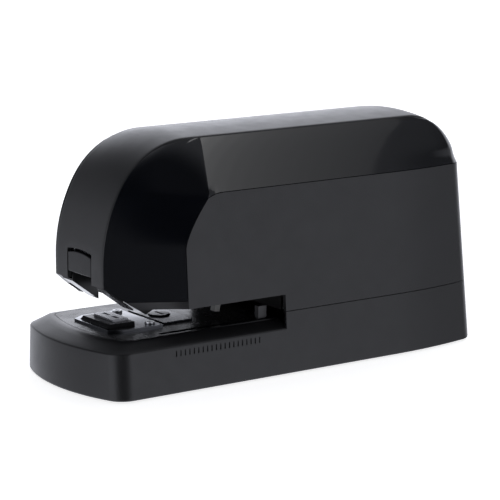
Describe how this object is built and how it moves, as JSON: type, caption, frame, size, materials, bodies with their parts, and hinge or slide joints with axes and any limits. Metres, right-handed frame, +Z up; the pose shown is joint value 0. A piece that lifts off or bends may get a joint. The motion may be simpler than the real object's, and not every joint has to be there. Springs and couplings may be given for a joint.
{
  "type": "electric stapler",
  "caption": "Desktop electric stapler: low base with paper slot and anvil, tall rounded housing, front-loading staple head, motor and gear drive.",
  "frame": {"origin": "on the table surface, under the centre of the bounding box", "axes": "+X to the side with the ruler marks, -Y towards the stapling nose, +Y to the back, +Z up"},
  "size_m": [0.0866, 0.2239, 0.117],
  "materials": {
    "black_shell": "fine moulded grain, matte black",
    "gloss_black": "piano black",
    "inner_black": "plain moulded black",
    "light_plastic": "smooth light grey",
    "white_plastic": "acetal, off white",
    "rubber": "soft matte",
    "plated_steel": "zinc plated sheet",
    "bright_steel": "polished nickel",
    "hard_steel": "ground hardened steel",
    "brass": "turned brass",
    "battery": "plain sleeve",
    "circuit": "solder mask green"
  },
  "bodies": {
    "root": {"anvil_block": "gloss_black", "anvil_plate": "bright_steel", "base_shell": "black_shell", "batteries": "battery", "battery_contacts": "plated_steel", "battery_tray": "inner_black", "bottom_cover": "black_shell", "button_housing": "inner_black", "chassis_plate": "plated_steel", "circuit_board": "circuit", "clinch_anvil": "hard_steel", "dc_socket": "inner_black", "deck_button": "gloss_black", "frame_spacers": "plated_steel", "gear_axles": "hard_steel", "head_guides": "gloss_black", "left_cheek": "gloss_black", "left_frame_plate": "plated_steel", "left_side_panel": "black_shell", "motor": "plated_steel", "motor_bracket": "plated_steel", "outer_gear_plate": "plated_steel", "pan_head_screws": "plated_steel", "paper_deck": "black_shell", "power_switch_body": "inner_black", "rear_deck_plate": "plated_steel", "right_cheek": "gloss_black", "right_frame_plate": "plated_steel", "right_side_panel": "black_shell", "rubber_feet": "rubber", "throat_liner": "inner_black", "top_cap": "black_shell", "trigger_bracket": "plated_steel", "trigger_switch": "inner_black"},
    "camshaft": {"cam_shaft": "hard_steel", "drive_gear": "white_plastic", "drive_cam": "hard_steel"},
    "second_wheel": {"second_gear": "white_plastic"},
    "first_wheel": {"first_gear": "white_plastic"},
    "motor_rotor": {"motor_shaft": "hard_steel", "motor_pinion": "brass"},
    "lever": {"drive_lever": "plated_steel", "lever_shaft": "hard_steel", "cam_roller": "hard_steel", "roller_pin": "hard_steel"},
    "driver": {"driver_holder": "hard_steel", "driver_blade": "hard_steel", "driver_pin": "hard_steel"},
    "staple_head": {"head_frame": "plated_steel", "head_spring": "hard_steel"},
    "staple_drawer": {"drawer_front": "black_shell", "drawer_channel": "plated_steel", "staple_rail": "inner_black", "staple_strip": "bright_steel"},
    "pusher": {"staple_pusher": "hard_steel"},
    "depth_slide": {"depth_guide": "inner_black"},
    "trigger": {"paper_trigger": "light_plastic"},
    "button": {"release_button": "inner_black"},
    "rocker": {"power_rocker": "inner_black"},
    "door": {"battery_door": "black_shell"}
  },
  "joints": [
    {"name": "cam_turn", "type": "hinge", "parent": "root", "child": "camshaft", "pos_m": [0, -0.01359, 0.08923], "axis": [1, 0, 0], "range_deg": [0, 170]},
    {"name": "second_gear_turn", "type": "hinge", "parent": "root", "child": "second_wheel", "pos_m": [0.019, 0.00866, 0.08024], "axis": [1, 0, 0], "range_deg": [-680.01, 0]},
    {"name": "first_gear_turn", "type": "hinge", "parent": "root", "child": "first_wheel", "pos_m": [0.022, 0.02832, 0.06647], "axis": [1, 0, 0], "range_deg": [0, 2720.01]},
    {"name": "motor_turn", "type": "hinge", "parent": "root", "child": "motor_rotor", "pos_m": [0.023, 0.04723, 0.05169], "axis": [1, 0, 0], "range_deg": [-10880.01, 0]},
    {"name": "lever_swing", "type": "hinge", "parent": "root", "child": "lever", "pos_m": [0, 0.034, 0.072], "axis": [1, 0, 0], "range_deg": [0, 14.92]},
    {"name": "driver_drop", "type": "slide", "parent": "root", "child": "driver", "axis": [0, 0, 1], "range_m": [-0.03, 0]},
    {"name": "head_drop", "type": "slide", "parent": "root", "child": "staple_head", "axis": [0, 0, 1], "range_m": [-0.0213, 0], "deforming": ["head_spring"]},
    {"name": "drawer_slide", "type": "slide", "parent": "staple_head", "child": "staple_drawer", "axis": [0, -1, 0], "range_m": [0, 0.055]},
    {"name": "pusher_slide", "type": "slide", "parent": "staple_drawer", "child": "pusher", "axis": [0, 1, 0], "range_m": [0, 0.007], "stiffness_N_per_m": 40, "springref_m": -0.012},
    {"name": "depth_slide", "type": "slide", "parent": "root", "child": "depth_slide", "axis": [0, -1, 0], "range_m": [0, 0.054]},
    {"name": "trigger_swing", "type": "hinge", "parent": "root", "child": "trigger", "pos_m": [0.0175, -0.031, 0.0445], "axis": [1, 0, 0], "range_deg": [0, 22], "stiffness_Nm_per_rad": 0.0008, "springref_deg": -17.19},
    {"name": "button_press", "type": "slide", "parent": "root", "child": "button", "axis": [0, -1, 0], "range_m": [0, 0.0025], "stiffness_N_per_m": 400, "springref_m": -0.001},
    {"name": "rocker_tip", "type": "hinge", "parent": "root", "child": "rocker", "pos_m": [0, 0.1055, 0.0535], "axis": [0, 0, 1], "range_deg": [0, 14]},
    {"name": "battery_door_tilt", "type": "hinge", "parent": "root", "child": "door", "pos_m": [0, -0.0026, 0.0008], "axis": [1, 0, 0], "range_deg": [-60, 0]}
  ],
  "couplings": [
    {"joint": "second_gear_turn", "follows": "cam_turn", "ratio": -4},
    {"joint": "first_gear_turn", "follows": "cam_turn", "ratio": 16},
    {"joint": "motor_turn", "follows": "cam_turn", "ratio": -64},
    {"joint": "lever_swing", "follows": "cam_turn", "ratio": 0.087693},
    {"joint": "driver_drop", "follows": "cam_turn", "m_per_rad": -0.010111},
    {"joint": "head_drop", "follows": "cam_turn", "m_per_rad": -0.0071788}
  ]
}
